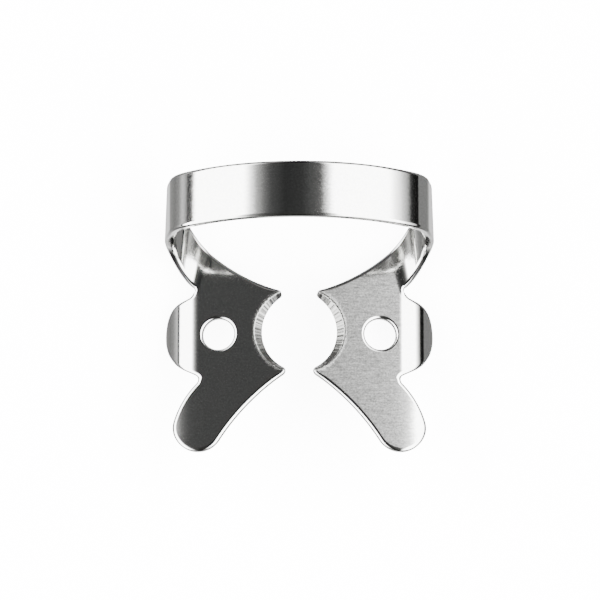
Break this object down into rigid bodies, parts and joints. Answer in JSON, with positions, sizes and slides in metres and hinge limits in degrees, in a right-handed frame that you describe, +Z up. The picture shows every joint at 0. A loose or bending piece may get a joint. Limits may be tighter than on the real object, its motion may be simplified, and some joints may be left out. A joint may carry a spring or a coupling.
{
  "type": "dental rubber dam clamp",
  "caption": "Sprung stainless steel rubber dam clamp with two pronged jaws, side wings and an arched bow, lying at rest.",
  "frame": {"origin": "centre of the part's bounding box in plan, on the surface it lies on", "axes": "+X from one jaw to the other, +Y from the jaws towards the bow, +Z up from the surface"},
  "size_m": [0.0212, 0.023, 0.0111],
  "materials": {
    "steel": "tumbled and polished stainless steel"
  },
  "bodies": {
    "root": {"clamp": "steel"}
  },
  "joints": []
}
